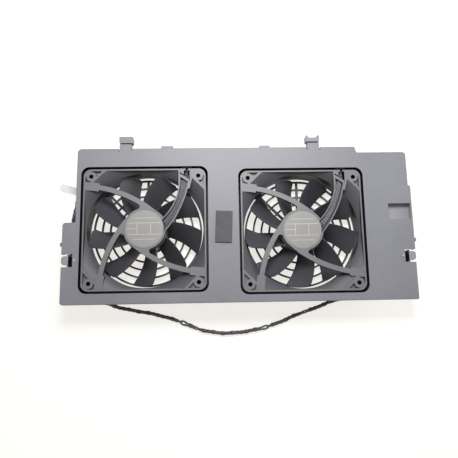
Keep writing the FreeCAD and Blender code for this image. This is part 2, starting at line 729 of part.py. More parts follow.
def hook(side):
    """Block of a back hook and the bridge to its tongue, with a slot between them for a sheet edge."""
    tongue_x0, tongue_x1 = HOOK_TONGUES[side]
    block_x0, block_x1 = HOOK_BLOCKS[side]
    slot_y = PLATE_BACK + HOOK_TONGUE
    block_y = slot_y + HOOK_SLOT
    plan = rectangle(block_x0, block_x1, block_y, HOOK_TOP_Y, HOOK_CORNER_R)
    block = prism(plan, HOOK_BOTTOM, PLATE_TOP - HOOK_STEP)
    bridge_top = HOOK_BOTTOM + HOOK_BRIDGE_T
    bridge = box(tongue_x0, tongue_x1, slot_y, block_y + HOOK_CORNER_R, HOOK_BOTTOM, bridge_top)
    return block.fuse(bridge).removeSplitter()


def horns(block):
    """The right hook's block with a wide notch in its back that leaves a horn at each end."""
    narrow, wide, depth = HORN_NOTCH
    x = sum(HOOK_BLOCKS["right"]) / 2
    low = HOOK_TOP_Y - depth
    notch = polygon([
        (x - narrow / 2, low), (x + narrow / 2, low), (x + wide / 2, HOOK_TOP_Y), (x - wide / 2, HOOK_TOP_Y),
    ])
    return block.cut(prism(notch, HOOK_BOTTOM, PLATE_TOP))


def bracket_ribs():
    """Low ribs under the plate that run between the wells and out to the skirt."""
    under = PLATE_TOP - PLATE_T + OVERLAP
    half_well = WELL_SIZE / 2 + WELL_WALL / 2
    half = RIB_T / 2
    skirt_x = UPPER_RIGHT - SKIRT_T / 2
    skirt_y = PLATE_BACK - SKIRT_T / 2
    gap = (LEFT_FAN[0] + half_well, RIGHT_FAN[0] - half_well)
    ribs = []
    for y in WING_RIB_Y:
        ribs.append(box(RIGHT_FAN[0] + half_well, skirt_x, y - half, y + half, RIB_BOTTOM, under))
    for y in MIDDLE_RIB_Y:
        ribs.append(box(*gap, y - half, y + half, RIB_BOTTOM, under))
    for x in BACK_RIB_X:
        fan = LEFT_FAN if x < sum(gap) / 2 else RIGHT_FAN
        ribs.append(box(x - half, x + half, fan[1] + half_well, skirt_y, RIB_BOTTOM, under))
    return ribs


def sided(shape, side):
    """The shape itself on the right (side 1), or its mirror image on the left (side -1)."""
    if side > 0:
        return shape
    return shape.mirror(vec(0, 0), vec(1, 0))


def latch_seat():
    """Post and shelf that carry the right latch."""
    half = LATCH_SHELF_W / 2
    low, high = LATCH_SHELF
    post = box(NOTCH_X - LATCH_POST_T, NOTCH_X, LATCH_Y - half, LATCH_Y + half, low, PLATE_TOP - OVERLAP)
    shelf = box(NOTCH_X - LATCH_POST_T, LATCH_SHELF_X, LATCH_Y - half, LATCH_Y + half, low, high)
    axis_x = sum(LATCH_ARM_X) / 2
    groove = Part.makeCylinder(
        LATCH_BEAD_R + LATCH_GAP, LATCH_SHELF_W, vec(axis_x, LATCH_Y - half, LATCH_BEAD_Z), vec(0, 1, 0),
    )
    return post.fuse(shelf).cut(groove)


def press_arrow():
    """Small raised triangle on the plate that points inwards from the right latch."""
    length, width, height = ARROW
    x = NOTCH_X - ARROW_GAP
    points = [(x, LATCH_Y - width / 2), (x, LATCH_Y + width / 2), (x - length, LATCH_Y)]
    return prism(polygon(points), PLATE_TOP - OVERLAP, PLATE_TOP + height)


def side_pip():
    """Small stop on the right short side, rooted in the skirt."""
    out, length, height = PIP
    y0, y1 = PIP_Y - length / 2, PIP_Y + length / 2
    plan = rectangle(PLATE_RIGHT - SKIRT_T / 2, PLATE_RIGHT + out, y0, y1, PIP_CORNER_R)
    return prism(plan, SKIRT_BOTTOM, SKIRT_BOTTOM + height)


def latch_notch():
    half = NOTCH_W / 2
    return box(NOTCH_X, PLATE_RIGHT + CUT_PAST, LATCH_Y - half, LATCH_Y + half, SKIRT_BOTTOM, PLATE_TOP)


def well_cuts(fan):
    """Everything cut out for one fan: its well, the air opening, pin holes and the lead's way out."""
    cuts = [
        prism(square(WELL_SIZE, WELL_CORNER_R, fan), WELL_FLOOR_T, PLATE_TOP),
        disc(WELL_OPENING_R, 0, WELL_FLOOR_T, fan),
    ]
    for x, y in hole_centres():
        centre = (fan[0] + x, fan[1] + y)
        cuts.append(disc(PIN_HOLE_R, 0, WELL_FLOOR_T, centre))
        cuts.append(disc(COUNTERBORE[0], 0, COUNTERBORE[1], centre))
    x = fan[0] + WIRE_EXIT_X
    y = fan[1] + WELL_SIZE / 2
    half = GROMMET_W / 2
    cuts.append(box(x - half, x + half, y - OVERLAP, y + WELL_WALL + OVERLAP, *GROMMET_Z))
    return cuts


def bracket():
    well_plan = WELL_SIZE + 2 * WELL_WALL
    top = PLATE_TOP - OVERLAP
    adds, cuts = [], []
    for fan in (LEFT_FAN, RIGHT_FAN):
        adds.append(prism(square(well_plan, WELL_CORNER_R + WELL_WALL, fan), 0, top))
        cuts += well_cuts(fan)
    x0, x1, y0, y1 = POCKET
    wall = POCKET_WALL
    floor = PLATE_TOP - POCKET_DEPTH
    adds.append(box(x0 - wall, x1 + wall, y0 - wall, y1 + wall, floor - wall, top))
    cuts.append(prism(rectangle(x0, x1, y0, y1, POCKET_CORNER_R), floor, PLATE_TOP))
    slit_w, slit_l = SLIT
    for side, (x0, x1) in HOOK_TONGUES.items():
        adds.append(hook_tongue(side))
        for x in (x0 - slit_w, x1):
            y0, y1 = PLATE_BACK - slit_l, PLATE_BACK + CUT_PAST
            cuts.append(box(x, x + slit_w, y0, y1, SKIRT_BOTTOM, PLATE_TOP))
    for x0, x1, reach in LIPS:
        plan = rectangle(x0, x1, PLATE_BACK - SKIRT_T, PLATE_BACK + reach, LIP_CORNER_R)
        adds.append(prism(plan, PLATE_TOP - PLATE_T, PLATE_TOP - LIP_STEP))
    for side in (-1, 1):
        cuts.append(sided(latch_notch(), side))
        adds += [sided(latch_seat(), side), sided(press_arrow(), side), sided(side_pip(), side)]
    body = plate_shell().fuse(adds + bracket_ribs())
    return body.cut(cuts).removeSplitter()


def latch():
    """Right snap arm: a bead at its root, a catch on its outer face and a narrower finger tab on top."""
    x0, x1 = LATCH_ARM_X
    half_arm = LATCH_ARM_W / 2
    tab_z = PLATE_TOP - LATCH_TAB_T
    axis_start = vec((x0 + x1) / 2, LATCH_Y - half_arm, LATCH_BEAD_Z)
    bead = Part.makeCylinder(LATCH_BEAD_R, LATCH_ARM_W, axis_start, vec(0, 1, 0))
    arm = box(x0, x1, LATCH_Y - half_arm, LATCH_Y + half_arm, LATCH_BEAD_Z, tab_z)
    half_tab = LATCH_W / 2
    tab = box(x0, PLATE_RIGHT, LATCH_Y - half_tab, LATCH_Y + half_tab, tab_z, PLATE_TOP)
    corners = []
    for edge in tab.Edges:
        if edge.BoundBox.ZLength > LATCH_TAB_T / 2 and edge.BoundBox.XMin > PLATE_RIGHT - 1e-3:
            corners.append(edge)
    tab = tab.makeFillet(LATCH_TAB_ROUND, corners)
    low, peak, high = CATCH_Z
    y = LATCH_Y - CATCH_W / 2
    profile = [vec(x1, y, low), vec(x1 + CATCH_REACH, y, peak), vec(x1, y, high)]
    wedge = Part.Face(Part.makePolygon(profile + profile[:1])).extrude(vec(0, CATCH_W, 0))
    return arm.fuse([bead, tab, wedge]).removeSplitter()


def foam_pad():
    width, length, thick = PAD_SIZE
    plan = rectangle(-width / 2, width / 2, -length / 2, length / 2, PAD_CORNER_R)
    pad = prism(plan, PLATE_TOP, PLATE_TOP + thick)
    pad.rotate(vec(0, 0), vec(0, 0, 1), PAD_TURN)
    pad.translate(vec(*PAD_CENTRE))
    return pad


# Leads
def lead_grommet(fan):
    """Rubber bush in the wall of the well where the thin leads pass out."""
    x = fan[0] + WIRE_EXIT_X
    y = fan[1] + WELL_SIZE / 2
    half = GROMMET_W / 2
    lip = GROMMET_FLANGE
    z0, z1 = GROMMET_Z
    neck = box(x - half, x + half, y - lip, y + WELL_WALL + lip, z0, z1)
    flange = box(x - half - lip, x + half + lip, y + WELL_WALL, y + WELL_WALL + lip, z0 - lip, z1)
    return neck.fuse(flange).removeSplitter()


def lead_points():
    """From the right fan's grommet down behind its well, then along the floor round the holder."""
    exit_y = RIGHT_FAN[1] + WELL_SIZE / 2 + WELL_WALL + GROMMET_FLANGE
    way_out = vec(RIGHT_FAN[0] + WIRE_EXIT_X, exit_y, LEAD_EXIT_Z)
    start = [way_out + vec(*step) for step in LEAD_START]
    down = [vec(*point) for point in LEAD_RIGHT]
    return start + down + [vec(x, y, LEAD_Z) for x, y in LEAD_FLOOR]


def lead_connector():
    """Crimp housing on the end of the lead, with two keying ribs on top."""
    length, width, height = CONNECTOR
    x, y = LEAD_FLOOR[-1]
    half = width / 2
    body = box(x, x + length, y - half, y + half, 0, height)
    rib_l, rib_w, rib_h = CONNECTOR_RIB
    ribs = []
    for offset in CONNECTOR_RIB_Y:
        rib_y = y + offset - rib_w / 2
        ribs.append(box(x + length - rib_l, x + length, rib_y, rib_y + rib_w, height, height + rib_h))
    return body.fuse(ribs).removeSplitter()


def lead_label(lead):
    """Flag sticker folded round the lead, its two leaves stuck together."""
    length, width, thick = FLAG
    leaf = box(0, length, -width / 2, width / 2, -thick / 2, thick / 2)
    along = (vec(*LEAD_FLOOR[FLAG_RUN + 1]) - vec(*LEAD_FLOOR[FLAG_RUN])).normalize()
    leaf.rotate(vec(0, 0), vec(0, 0, 1), FLAG_TURN)
    centre = vec(*FLAG_FROM, LEAD_Z)
    leaf.translate(centre)
    wrap = Part.makeCylinder(LEAD_R + FLAG_WRAP_T, width, centre - along * (width / 2), along)
    return leaf.fuse(wrap).cut(lead).removeSplitter()


# Every piece, named as on the bench, placed and written out
def placed(shape, fan, z):
    copy = shape.copy()
    copy.translate(vec(*fan, z))
    return copy


def fan_pieces(side, fan):
    pieces = {
        "fan_frame": fan_frame(),
        "impeller": impeller(BLADE_PHASE[side]),
        "rotor_yoke": rotor_yoke(),
        "rotor_magnet": rotor_magnet(),
        "rotor_shaft": shaft(),
        "rear_bearing": bearing(REAR_BEARING_Z),
        "front_bearing": bearing(FRONT_BEARING_Z),
        "thrust_washer": thrust_washer(),
        "retaining_clip": retaining_clip(),
        "stator_core": stator_core(),
        "stator_coils": stator_coils(),
        "circuit_board": circuit_board(),
        "board_components": board_components(),
        "motor_label": motor_label(),
        "strut_wires": strut_wires(WIRE_OFFSETS[side]),
        "isolator_pins": isolator_pins(),
    }
    named = {f"{name}_{side}": placed(shape, fan, FAN_BACK) for name, shape in pieces.items()}
    named[f"finger_guard_{side}"] = placed(finger_guard(), fan, WELL_FLOOR_T)
    named[f"lead_grommet_{side}"] = lead_grommet(fan)
    return named


def all_pieces():
    points = lead_points()
    lead, length = tube_along(points, LEAD_R)
    print("lead length", round(length, 1), "volume ratio", lead.Volume / (math.pi * LEAD_R**2 * length))
    print("lead bend radii", [round(r, 1) for r in largest_radii(points)])
    pieces = {
        "bracket": bracket(),
        "hook_left": hook("left"),
        "hook_right": horns(hook("right")),
        "latch_left": sided(latch(), -1),
        "latch_right": latch(),
        "foam_pad": foam_pad(),
        "fan_lead": lead,
        "lead_connector": lead_connector(),
        "lead_label": lead_label(lead),
    }
    pieces.update(fan_pieces("left", LEFT_FAN))
    pieces.update(fan_pieces("right", RIGHT_FAN))
    return pieces


def main():
    os.makedirs("parts", exist_ok=True)
    for name, shape in all_pieces().items():
        solids = len(shape.Solids)
        if solids == 1:
            shape = shape.Solids[0]
        print(f"{name:24s} solids {solids} valid {shape.isValid()} volume {shape.Volume / 1000:.3f} cm3")
        shape.exportStep(f"parts/{name}.step")


main()
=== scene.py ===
# %% [markdown]
# Dressing a twin fan holder
#
# The object is a flat moulded holder that carries two 120 mm cooling fans side by side.
# Its solids come packed from the construction step, at their real size and place, in metres.
# This lesson keeps those solids where they are and gives them what a solid lacks: softened
# edges, real finishes, a twisted lead made of its four wires, a cellular foam pad and a
# folded sticker. Light, floor and camera come along so that it can be compared with its photo.

# %% Load the frame
import json
import math
import random

import bpy
from mathutils import Matrix, Vector


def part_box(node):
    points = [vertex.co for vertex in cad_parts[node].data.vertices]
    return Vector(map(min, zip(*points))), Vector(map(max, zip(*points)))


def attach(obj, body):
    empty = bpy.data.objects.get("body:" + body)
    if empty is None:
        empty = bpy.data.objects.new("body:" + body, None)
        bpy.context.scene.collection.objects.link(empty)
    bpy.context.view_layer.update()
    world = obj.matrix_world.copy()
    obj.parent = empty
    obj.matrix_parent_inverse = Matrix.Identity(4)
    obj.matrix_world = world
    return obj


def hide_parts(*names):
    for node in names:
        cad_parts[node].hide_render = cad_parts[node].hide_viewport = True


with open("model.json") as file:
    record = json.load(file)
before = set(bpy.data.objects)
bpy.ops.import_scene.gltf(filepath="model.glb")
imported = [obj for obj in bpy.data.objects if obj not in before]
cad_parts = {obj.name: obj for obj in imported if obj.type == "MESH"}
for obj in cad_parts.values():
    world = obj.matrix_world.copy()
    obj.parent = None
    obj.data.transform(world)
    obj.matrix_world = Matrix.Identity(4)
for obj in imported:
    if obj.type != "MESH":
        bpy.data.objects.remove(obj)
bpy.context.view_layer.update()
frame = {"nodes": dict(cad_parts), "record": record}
scene = bpy.context.scene
MM = 0.001
SIDES = ("left", "right")
bpy.ops.object.select_all(action="DESELECT")

# %% [markdown]
# The photo was taken from nearly straight above, a little in front of the holder, so the wells
# show their back walls and the front edge nearly hides its own side. A focal length is easier
# to reason about in pixels of the picture, so the lens is worked out from that. The tilt
# numbers are the small turns that bring the plate's four corners onto their places.

# %% Camera
PICTURE_PIXELS = 458
FOCAL_PIXELS = 486.9
CAMERA_PLACE = (-0.0235, -0.0917, 0.4976)
CAMERA_TILT = (9.705, -1.443, -1.049)

camera_data = bpy.data.cameras.new("photo_camera")
camera_data.lens = camera_data.sensor_width * FOCAL_PIXELS / PICTURE_PIXELS
camera = bpy.data.objects.new("photo_camera", camera_data)
camera.location = CAMERA_PLACE
camera.rotation_euler = [math.radians(turn) for turn in CAMERA_TILT]
scene.collection.objects.link(camera)
scene.camera = camera
print("camera lens", round(camera_data.lens, 1), "mm")

# %% [markdown]
# The lead is the one free cord of the object. It leaves the right fan's grommet, drops behind
# the plate, runs under the wide end, shows as a loose loop in front, goes back under the plate
# and ends in its connector behind the left fan. The route repeats the points that the solid tube
# was built on, with the loop in front moved a few millimetres to lie as it does in the photo. As
# control points of a NURBS line they give one smooth, limp curve, and everything on the lead then
# follows points that are read back from that curve.

# %% Lead route
LEAD_DIAMETER = 4.4 * MM
LEAD_FLOOR_Z = 0.0023
LINE_STEPS = 10
LEAD_DROP = (
    (0.1029, 0.0515, 0.0260), (0.1029, 0.0560, 0.0260), (0.1057, 0.0597, 0.0228),
    (0.1100, 0.0618, 0.0185), (0.1170, 0.0620, 0.0120), (0.1255, 0.0590, 0.0065),
    (0.1340, 0.0530, 0.0032),
)
LEAD_ON_FLOOR = (
    (0.1410, 0.0435), (0.1460, 0.0300), (0.1492, 0.0120), (0.1505, -0.0090), (0.1490, -0.0310),
    (0.1455, -0.0510), (0.1395, -0.0660), (0.1315, -0.0750), (0.1215, -0.0785), (0.1115, -0.0787),
    (0.0990, -0.0808), (0.0860, -0.0852), (0.0730, -0.0904), (0.0580, -0.0949), (0.0420, -0.1018),
    (0.0250, -0.1076), (0.0080, -0.1108), (-0.0090, -0.1126), (-0.0250, -0.1118), (-0.0410, -0.1084),
    (-0.0570, -0.1013), (-0.0740, -0.0954), (-0.0910, -0.0912), (-0.1080, -0.0883), (-0.1220, -0.0851),
    (-0.1360, -0.0797), (-0.1490, -0.0786), (-0.1588, -0.0752), (-0.1653, -0.0680), (-0.1688, -0.0550),
    (-0.1698, -0.0390), (-0.1702, -0.0220), (-0.1703, -0.0070), (-0.1688, 0.0050), (-0.1668, 0.0160),
    (-0.1648, 0.0280), (-0.1634, 0.0395), (-0.1622, 0.0500), (-0.1562, 0.0582), (-0.1470, 0.0626),
    (-0.1380, 0.0626),
)
LEAD_ROUTE = LEAD_DROP + tuple((x, y, LEAD_FLOOR_Z) for x, y in LEAD_ON_FLOOR)


def nurbs_line(name, route):
    """Points along the smooth NURBS line that has the route as its control points."""
    curve = bpy.data.curves.new(name, "CURVE")
    curve.dimensions = "3D"
    spline = curve.splines.new("NURBS")
    spline.points.add(len(route) - 1)
    for point, place in zip(spline.points, route):
        point.co = (*place, 1.0)
    spline.order_u = 3
    spline.use_endpoint_u = True
    spline.resolution_u = LINE_STEPS
    carrier = bpy.data.objects.new(name, curve)
    scene.collection.objects.link(carrier)
    bpy.context.view_layer.update()
    mesh = bpy.data.meshes.new_from_object(carrier)
    line = [vertex.co.copy() for vertex in mesh.vertices]
    bpy.data.objects.remove(carrier)
    bpy.data.meshes.remove(mesh)
    return line


lead_line = nurbs_line("lead_route", LEAD_ROUTE)
print("lead line:", len(lead_line), "points from", len(LEAD_ROUTE), "control points")

# %% [markdown]
# A fan lead is four thin wires twisted by hand, so it never looks like one smooth tube. To wind
# a wire round a line, each point of the line needs its running length and two directions across
# it. Directions that are carried from point to point without twisting keep the winding even,
# where ones worked out afresh at each point would flip at every bend.

# %% Directions along the lead
def running_lengths(line):
    """How far along the line each of its points lies."""
    lengths = [0.0]
    for a, b in zip(line, line[1:]):
        lengths.append(lengths[-1] + (b - a).length)
    return lengths


def carried_frames(line):
    """A sideways and an upward direction at each point, carried along without twisting."""
    frames = []
    side = Vector((0, 0, 1))
    last = len(line) - 1
    for i in range(len(line)):
        ahead = (line[min(i + 1, last)] - line[max(i - 1, 0)]).normalized()
        side = (side - ahead * side.dot(ahead)).normalized()
        frames.append((side.copy(), ahead.cross(side)))
    return frames


lead_lengths = running_lengths(lead_line)
lead_frames = carried_frames(lead_line)
print("lead:", round(lead_lengths[-1], 4), "m long,", len(lead_frames), "frames")

# %% [markdown]
# Each wire goes round the route at its own angle. Two slow waves make the lay looser in some places
# than in others, and a third lets the pitch drift, as a hand does. In front of the fans the photo
# shows small eyes where the wires part, so there they bow outwards over a few millimetres, two to
# each side. An eye is given by its spot on the floor, its reach along the lead and its bow.

# %% Lines of the wires
WIRE_COUNT = 4
WIRE_R = 0.78 * MM
WIRE_OFFSET = 1.22 * MM
TWIST_PITCH = 19 * MM
SLOW_SLACK, SLOW_WAVE = 0.18, 31 * MM
QUICK_SLACK, QUICK_WAVE = 0.14, 12.7 * MM
DRIFT_TURN, DRIFT_WAVE = 0.5, 45 * MM
EYE_PULL = 0.85
EYE_SPLIT_TURN = 0.8
EYES = (
    ((-0.0575, -0.1016), 3.4 * MM, 0.8 * MM), ((-0.0452, -0.1075), 3.0 * MM, 0.2 * MM),
    ((0.0251, -0.1072), 3.2 * MM, 0.5 * MM), ((0.0645, -0.0930), 3.0 * MM, 0.2 * MM),
)


def nearest_on_lead(spot):
    """Number of the point of the lead's line that is nearest to a place."""
    return min(range(len(lead_line)), key=lambda i: (lead_line[i] - spot).length)


def twisted_wire(turn):
    """The line of one wire of the lead, which starts at this turn round the route."""
    eyes = []
    for spot, reach, bow in EYES:
        eyes.append((lead_lengths[nearest_on_lead(Vector((*spot, LEAD_FLOOR_Z)))], reach, bow))
    apart = 1 if math.sin(turn + EYE_SPLIT_TURN) > 0 else -1
    wire = []
    for point, (side, up), along in zip(lead_line, lead_frames, lead_lengths):
        loose = 1 + SLOW_SLACK * math.sin(along / SLOW_WAVE + turn)
        loose += QUICK_SLACK * math.sin(along / QUICK_WAVE + 2 * turn)
        angle = turn + math.tau * along / TWIST_PITCH + DRIFT_TURN * math.sin(along / DRIFT_WAVE)
        offset = WIRE_OFFSET * loose * (side * math.sin(angle) + up * math.cos(angle))
        level = side.cross(up).cross(Vector((0, 0, 1))).normalized()
        for eye_at, reach, bow in eyes:
            share = EYE_PULL * math.exp(-((along - eye_at) / reach) ** 2)
            offset = offset.lerp(level * (WIRE_OFFSET + bow) * apart, share)
        place = point + offset
        place.z = max(place.z, WIRE_R)
        wire.append(place)
    return wire


wire_lines = [twisted_wire(math.tau * i / WIRE_COUNT) for i in range(WIRE_COUNT)]
print("wires:", len(wire_lines), "lines with", len(EYES), "eyes")

# %% [markdown]
# A round bevel turns each of these lines into a wire with closed ends. The four are joined into one
# piece, because whoever handles the lead handles it as one cord.

# %% Twisted lead
ROUND_ANGLE = math.radians(50)


def tube_mesh(name, line, radius):
    """Round tube with closed ends along a line of points."""
    curve = bpy.data.curves.new(name, "CURVE")
    curve.dimensions = "3D"
    curve.bevel_depth = radius
    curve.bevel_resolution = 2
    curve.use_fill_caps = True
    spline = curve.splines.new("POLY")
    spline.points.add(len(line) - 1)
    for point, place in zip(spline.points, line):
        point.co = (*place, 1.0)
    carrier = bpy.data.objects.new(name, curve)
    scene.collection.objects.link(carrier)
    bpy.context.view_layer.update()
    mesh = bpy.data.meshes.new_from_object(carrier)
    bpy.data.objects.remove(carrier)
    return mesh


def joined(name, meshes):
    """One object made of several meshes."""
    bpy.ops.object.select_all(action="DESELECT")
    parts = []
    for i, mesh in enumerate(meshes):
        part = bpy.data.objects.new(f"{name}_{i}", mesh)
        scene.collection.objects.link(part)
        part.select_set(True)
        parts.append(part)
    bpy.context.view_layer.objects.active = parts[0]
    bpy.ops.object.join()
    piece = bpy.context.view_layer.objects.active
    piece.name = name
    piece.data.name = name
    return piece


wire_meshes = [tube_mesh(f"lead_wire_{i}", line, WIRE_R) for i, line in enumerate(wire_lines)]
lead = joined("fan_lead_wires", wire_meshes)
bpy.ops.object.shade_smooth_by_angle(angle=ROUND_ANGLE)
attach(lead, "holder")
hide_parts("fan_lead")
print("lead:", len(lead.data.polygons), "faces")

# %% [markdown]
# Moulded plastic never has a knife edge: the tool leaves a small radius that catches light. A
# solid of the frame has loose triangles, so a copy of its mesh is welded, its flat faces are
# merged, and a narrow bevel is laid on every edge that is sharper than a set angle. The copy
# then stands for the solid. Widths are real tool radii, a quarter of a millimetre or so.

# %% Softened copies of the moulded solids
WELD_REACH = 0.001 * MM
FLAT_ANGLE = math.radians(0.4)
SHARP_ANGLE = math.radians(38)
SMOOTH_ANGLE = math.radians(32)
FLAT_WEIGHT = 100


def welded_copy(node, name):
    """Copy of a node's mesh, welded, and left open in Edit Mode with all of it selected."""
    piece = bpy.data.objects.new(name, frame["nodes"][node].data.copy())
    scene.collection.objects.link(piece)
    bpy.ops.object.select_all(action="DESELECT")
    piece.select_set(True)
    bpy.context.view_layer.objects.active = piece
    bpy.ops.object.mode_set(mode="EDIT")
    bpy.ops.mesh.select_all(action="SELECT")
    bpy.ops.mesh.remove_doubles(threshold=WELD_REACH)
    return piece


def softened(node, name, width, body):
    """Copy of a node's mesh with a narrow round on its sharp edges, in the place of the node."""
    piece = welded_copy(node, name)
    bpy.ops.mesh.dissolve_limited(angle_limit=FLAT_ANGLE)
    bpy.ops.object.mode_set(mode="OBJECT")
    bevel = piece.modifiers.new("tool_radius", "BEVEL")
    bevel.width = width
    bevel.segments = 2
    bevel.limit_method = "ANGLE"
    bevel.angle_limit = SHARP_ANGLE
    bevel.use_clamp_overlap = True
    bpy.ops.object.modifier_apply(modifier=bevel.name)
    bpy.ops.object.shade_smooth_by_angle(angle=SMOOTH_ANGLE)
    flats = piece.modifiers.new("true_flats", "WEIGHTED_NORMAL")
    flats.weight = FLAT_WEIGHT
    flats.keep_sharp = True
    bpy.ops.object.modifier_apply(modifier=flats.name)
    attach(piece, body)
    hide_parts(node)
    return piece


moulded = {"bracket": softened("bracket", "bracket_moulding", 0.3 * MM, "holder")}
for side in SIDES:
    moulded[f"hook_{side}"] = softened(
        f"hook_{side}", f"hook_block_{side}", 0.25 * MM, "holder")
    moulded[f"frame_{side}"] = softened(
        f"fan_frame_{side}", f"fan_housing_{side}", 0.2 * MM, "holder")
    moulded[f"impeller_{side}"] = softened(
        f"impeller_{side}", f"fan_wheel_{side}", 0.2 * MM, f"rotor_{side}")
    moulded[f"guard_{side}"] = softened(
        f"finger_guard_{side}", f"guard_grille_{side}", 0.45 * MM, "holder")
    moulded[f"latch_{side}"] = softened(
        f"latch_{side}", f"snap_arm_{side}", 0.3 * MM, f"snap_{side}")
for name, piece in moulded.items():
    print(f"{name:16s} {len(piece.data.polygons)} faces")

# %% [markdown]
# The thin wires in the channel of each housing lie side by side, and a dark line shows between
# them because a round jacket only touches its neighbour at its widest point. Their solids touch
# all along, so a copy of each is pulled in by a sixth of a millimetre, which opens those lines.

# %% Wires in the struts
WIRE_PULL = 0.17 * MM


def thinned(node, name, body):
    """Copy of a node's mesh with its surface pulled in, in the place of the node."""
    piece = welded_copy(node, name)
    bpy.ops.transform.shrink_fatten(value=-WIRE_PULL)
    bpy.ops.object.mode_set(mode="OBJECT")
    bpy.ops.object.shade_smooth_by_angle(angle=ROUND_ANGLE)
    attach(piece, body)
    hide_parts(node)
    return piece


strut_leads = []
for side in SIDES:
    strut_leads.append(thinned(f"strut_wires_{side}", f"strut_leads_{side}", "holder"))
print("strut wires:", [len(piece.data.polygons) for piece in strut_leads], "faces")

# %% [markdown]
# The pad between the fans is a die-cut piece of closed-cell foam with sticky backing. A plain
# box would show ruler-straight edges, so the box is cut finer, its edges are rounded, the top is
# crowned by the least bit, and every point of the top is nudged by a few hundredths of a
# millimetre, as cut foam is never quite flat.

# %% Foam pad
PAD_CENTRE = Vector((-0.0152, -0.00975))
PAD_SIZE = Vector((16.2, 31.0, 1.5)) * MM
PAD_TURN = math.radians(-2.5)
PAD_EDGE = 0.3 * MM
PAD_CUTS = 9
PAD_CROWN = 0.06 * MM
PAD_UNEVEN = 0.025 * MM
PAD_SEED = 7


def foam_pad():
    """The pad in its place, with soft cut edges and an uneven, crowned top."""
    low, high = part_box("foam_pad")
    bpy.ops.object.select_all(action="DESELECT")
    bpy.ops.mesh.primitive_cube_add(size=1)
    pad = bpy.context.active_object
    pad.name = "foam_pad_cushion"
    pad.scale = PAD_SIZE
    bpy.ops.object.transform_apply(scale=True)
    edge = pad.modifiers.new("cut_edge", "BEVEL")
    edge.width = PAD_EDGE
    edge.segments = 3
    bpy.ops.object.modifier_apply(modifier=edge.name)
    bpy.ops.object.mode_set(mode="EDIT")
    bpy.ops.mesh.select_all(action="SELECT")
    bpy.ops.mesh.subdivide(number_cuts=PAD_CUTS)
    bpy.ops.object.mode_set(mode="OBJECT")
    draw = random.Random(PAD_SEED)
    for vertex in pad.data.vertices:
        across = 2 * vertex.co.x / PAD_SIZE.x
        along = 2 * vertex.co.y / PAD_SIZE.y
        if vertex.co.z > 0:
            vertex.co.z += draw.uniform(-PAD_UNEVEN, 0) - PAD_CROWN * (across**2 + along**2) / 2
    spin = Matrix.Rotation(PAD_TURN, 4, "Z")
    place = Matrix.Translation((PAD_CENTRE.x, PAD_CENTRE.y, (low.z + high.z) / 2))
    pad.data.transform(place @ spin)
    bpy.ops.object.shade_smooth_by_angle(angle=math.radians(40))
    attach(pad, "holder")
    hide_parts("foam_pad")
    return pad


pad = foam_pad()
print("foam pad:", len(pad.data.polygons), "faces")

# %% [markdown]
# Near the connector the lead carries a folded sticker: a strip of white film that goes once
# round the wires and whose two ends are stuck to each other. It starts as a flat grid, gets the
# slight lift, droop and skew of something that has been handled, and a short sleeve closes it
# round the lead.

# %% Folded sticker on the lead
FLAG_ROOT = Vector((-0.1643, 0.0332, LEAD_FLOOR_Z))
FLAG_TURN = math.radians(161.5)
FLAG_LENGTH = 20.5 * MM
FLAG_WIDTH = 7 * MM
FLAG_T = 0.3 * MM
FLAG_CURL = 0.7 * MM
CURL_WAVE = 2.6
CURL_DROOP = 1.4
CURL_SKEW = 0.3
SLEEVE_T = 0.1 * MM


def flag_leaf(root):
    """The stuck-together ends of the sticker, curled, with their inner end at the root."""
    bpy.ops.object.select_all(action="DESELECT")
    bpy.ops.mesh.primitive_grid_add(x_subdivisions=27, y_subdivisions=7, size=1)
    leaf = bpy.context.active_object
    leaf.name = "lead_flag"
    leaf.scale = (FLAG_LENGTH, FLAG_WIDTH, 1)
    bpy.ops.object.transform_apply(scale=True)
    for vertex in leaf.data.vertices:
        out = vertex.co.x / FLAG_LENGTH + 0.5
        lift = math.sin(CURL_WAVE * out) - CURL_DROOP * out**2
        vertex.co.z = FLAG_CURL * lift * (1 + CURL_SKEW * vertex.co.y / FLAG_WIDTH)
    thick = leaf.modifiers.new("two_leaves", "SOLIDIFY")
    thick.thickness = FLAG_T
    thick.offset = 0
    bpy.ops.object.modifier_apply(modifier=thick.name)
    leaf.data.transform(Matrix.Translation((FLAG_LENGTH / 2, 0, 0)))
    leaf.data.transform(Matrix.Translation(root) @ Matrix.Rotation(FLAG_TURN, 4, "Z"))
    return leaf


def flag_sleeve(root, along):
    """The part of the sticker that goes round the lead."""
    bpy.ops.object.select_all(action="DESELECT")
    bpy.ops.mesh.primitive_cylinder_add(
        vertices=28, radius=LEAD_DIAMETER / 2, depth=FLAG_WIDTH, end_fill_type="NOTHING")
    sleeve = bpy.context.active_object
    wrap = sleeve.modifiers.new("film", "SOLIDIFY")
    wrap.thickness = SLEEVE_T
    wrap.offset = 1
    bpy.ops.object.modifier_apply(modifier=wrap.name)
    turn = along.to_track_quat("Z", "Y").to_matrix().to_4x4()
    sleeve.data.transform(Matrix.Translation(root) @ turn)
    return sleeve


near = nearest_on_lead(FLAG_ROOT)
flag = flag_leaf(lead_line[near])
sleeve = flag_sleeve(lead_line[near], (lead_line[near + 1] - lead_line[near - 1]).normalized())
sleeve.select_set(True)
flag.select_set(True)
bpy.context.view_layer.objects.active = flag
bpy.ops.object.join()
bpy.ops.object.shade_smooth_by_angle(angle=math.radians(35))
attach(flag, "holder")
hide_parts("lead_label")
print("sticker:", len(flag.data.polygons), "faces")

# %% [markdown]
# Finishes. Every colour below is written as the sRGB hex value that a colour picker would give,
# and one function turns it into the linear numbers that shaders use. Another small function adds
# a node, sets its values and links its sockets, so that each finish reads as a short recipe.

